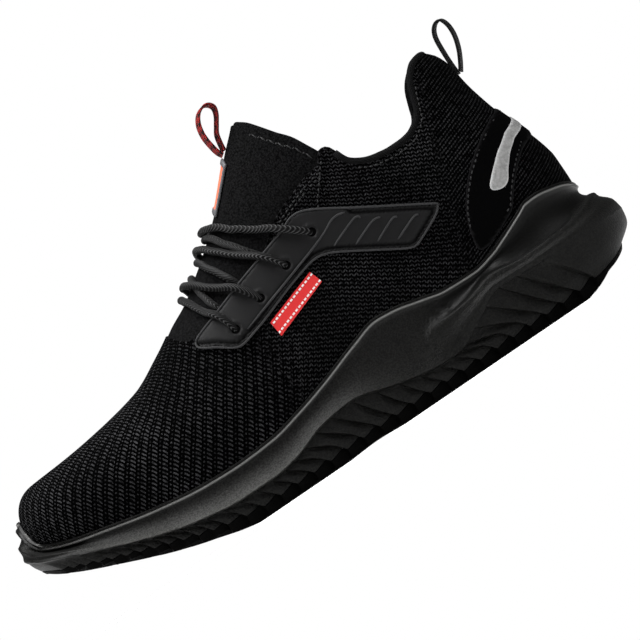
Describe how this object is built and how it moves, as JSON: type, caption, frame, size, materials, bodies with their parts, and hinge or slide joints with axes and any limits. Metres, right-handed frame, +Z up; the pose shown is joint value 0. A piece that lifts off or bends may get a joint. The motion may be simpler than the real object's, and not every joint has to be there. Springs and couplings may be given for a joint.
{
  "type": "safety sneaker",
  "caption": "Left safety sneaker, EU 42: black knitted bootie with moulded eyestays and laces on a flared cup sole with slanted ribs, steel toe cap inside.",
  "frame": {"origin": "on the floor, under the flat middle of the heel, on the line of the heel's centre", "axes": "+X to the toe, +Y to the outer (lateral) side of this left shoe, +Z up"},
  "size_m": [0.3009, 0.1107, 0.1642],
  "materials": {
    "knit": "matte knit of black loops",
    "tongue_fabric": "smooth fine-knit stretch fabric",
    "steel": "pressed steel",
    "footbed": "cloth-covered foam",
    "foam": "satin moulded foam with a fine grain",
    "tread_rubber": "matte rubber",
    "moulded_plastic": "matte moulded film",
    "counter_synthetic": "smooth black microfibre",
    "reflective_tape": "light grey reflective tape",
    "label_weave": "woven red tape",
    "badge_plastic": "soft moulded patch with a dark raised frame",
    "lace": "round braid",
    "loop_webbing": "woven tape"
  },
  "bodies": {
    "root": {"upper": "knit", "tongue": "tongue_fabric", "toe_cap": "steel", "insole": "footbed", "midsole": "foam", "outsole": "tread_rubber", "eyestay_lateral": "moulded_plastic", "eyestay_medial": "moulded_plastic", "heel_counter": "counter_synthetic", "heel_reflector": "reflective_tape", "side_label": "label_weave", "tongue_badge": "badge_plastic", "lace_bar": "lace", "lace_cross_1": "lace", "lace_cross_2": "lace", "lace_cross_3": "lace", "tongue_loop": "loop_webbing", "heel_loop": "loop_webbing"}
  },
  "joints": []
}
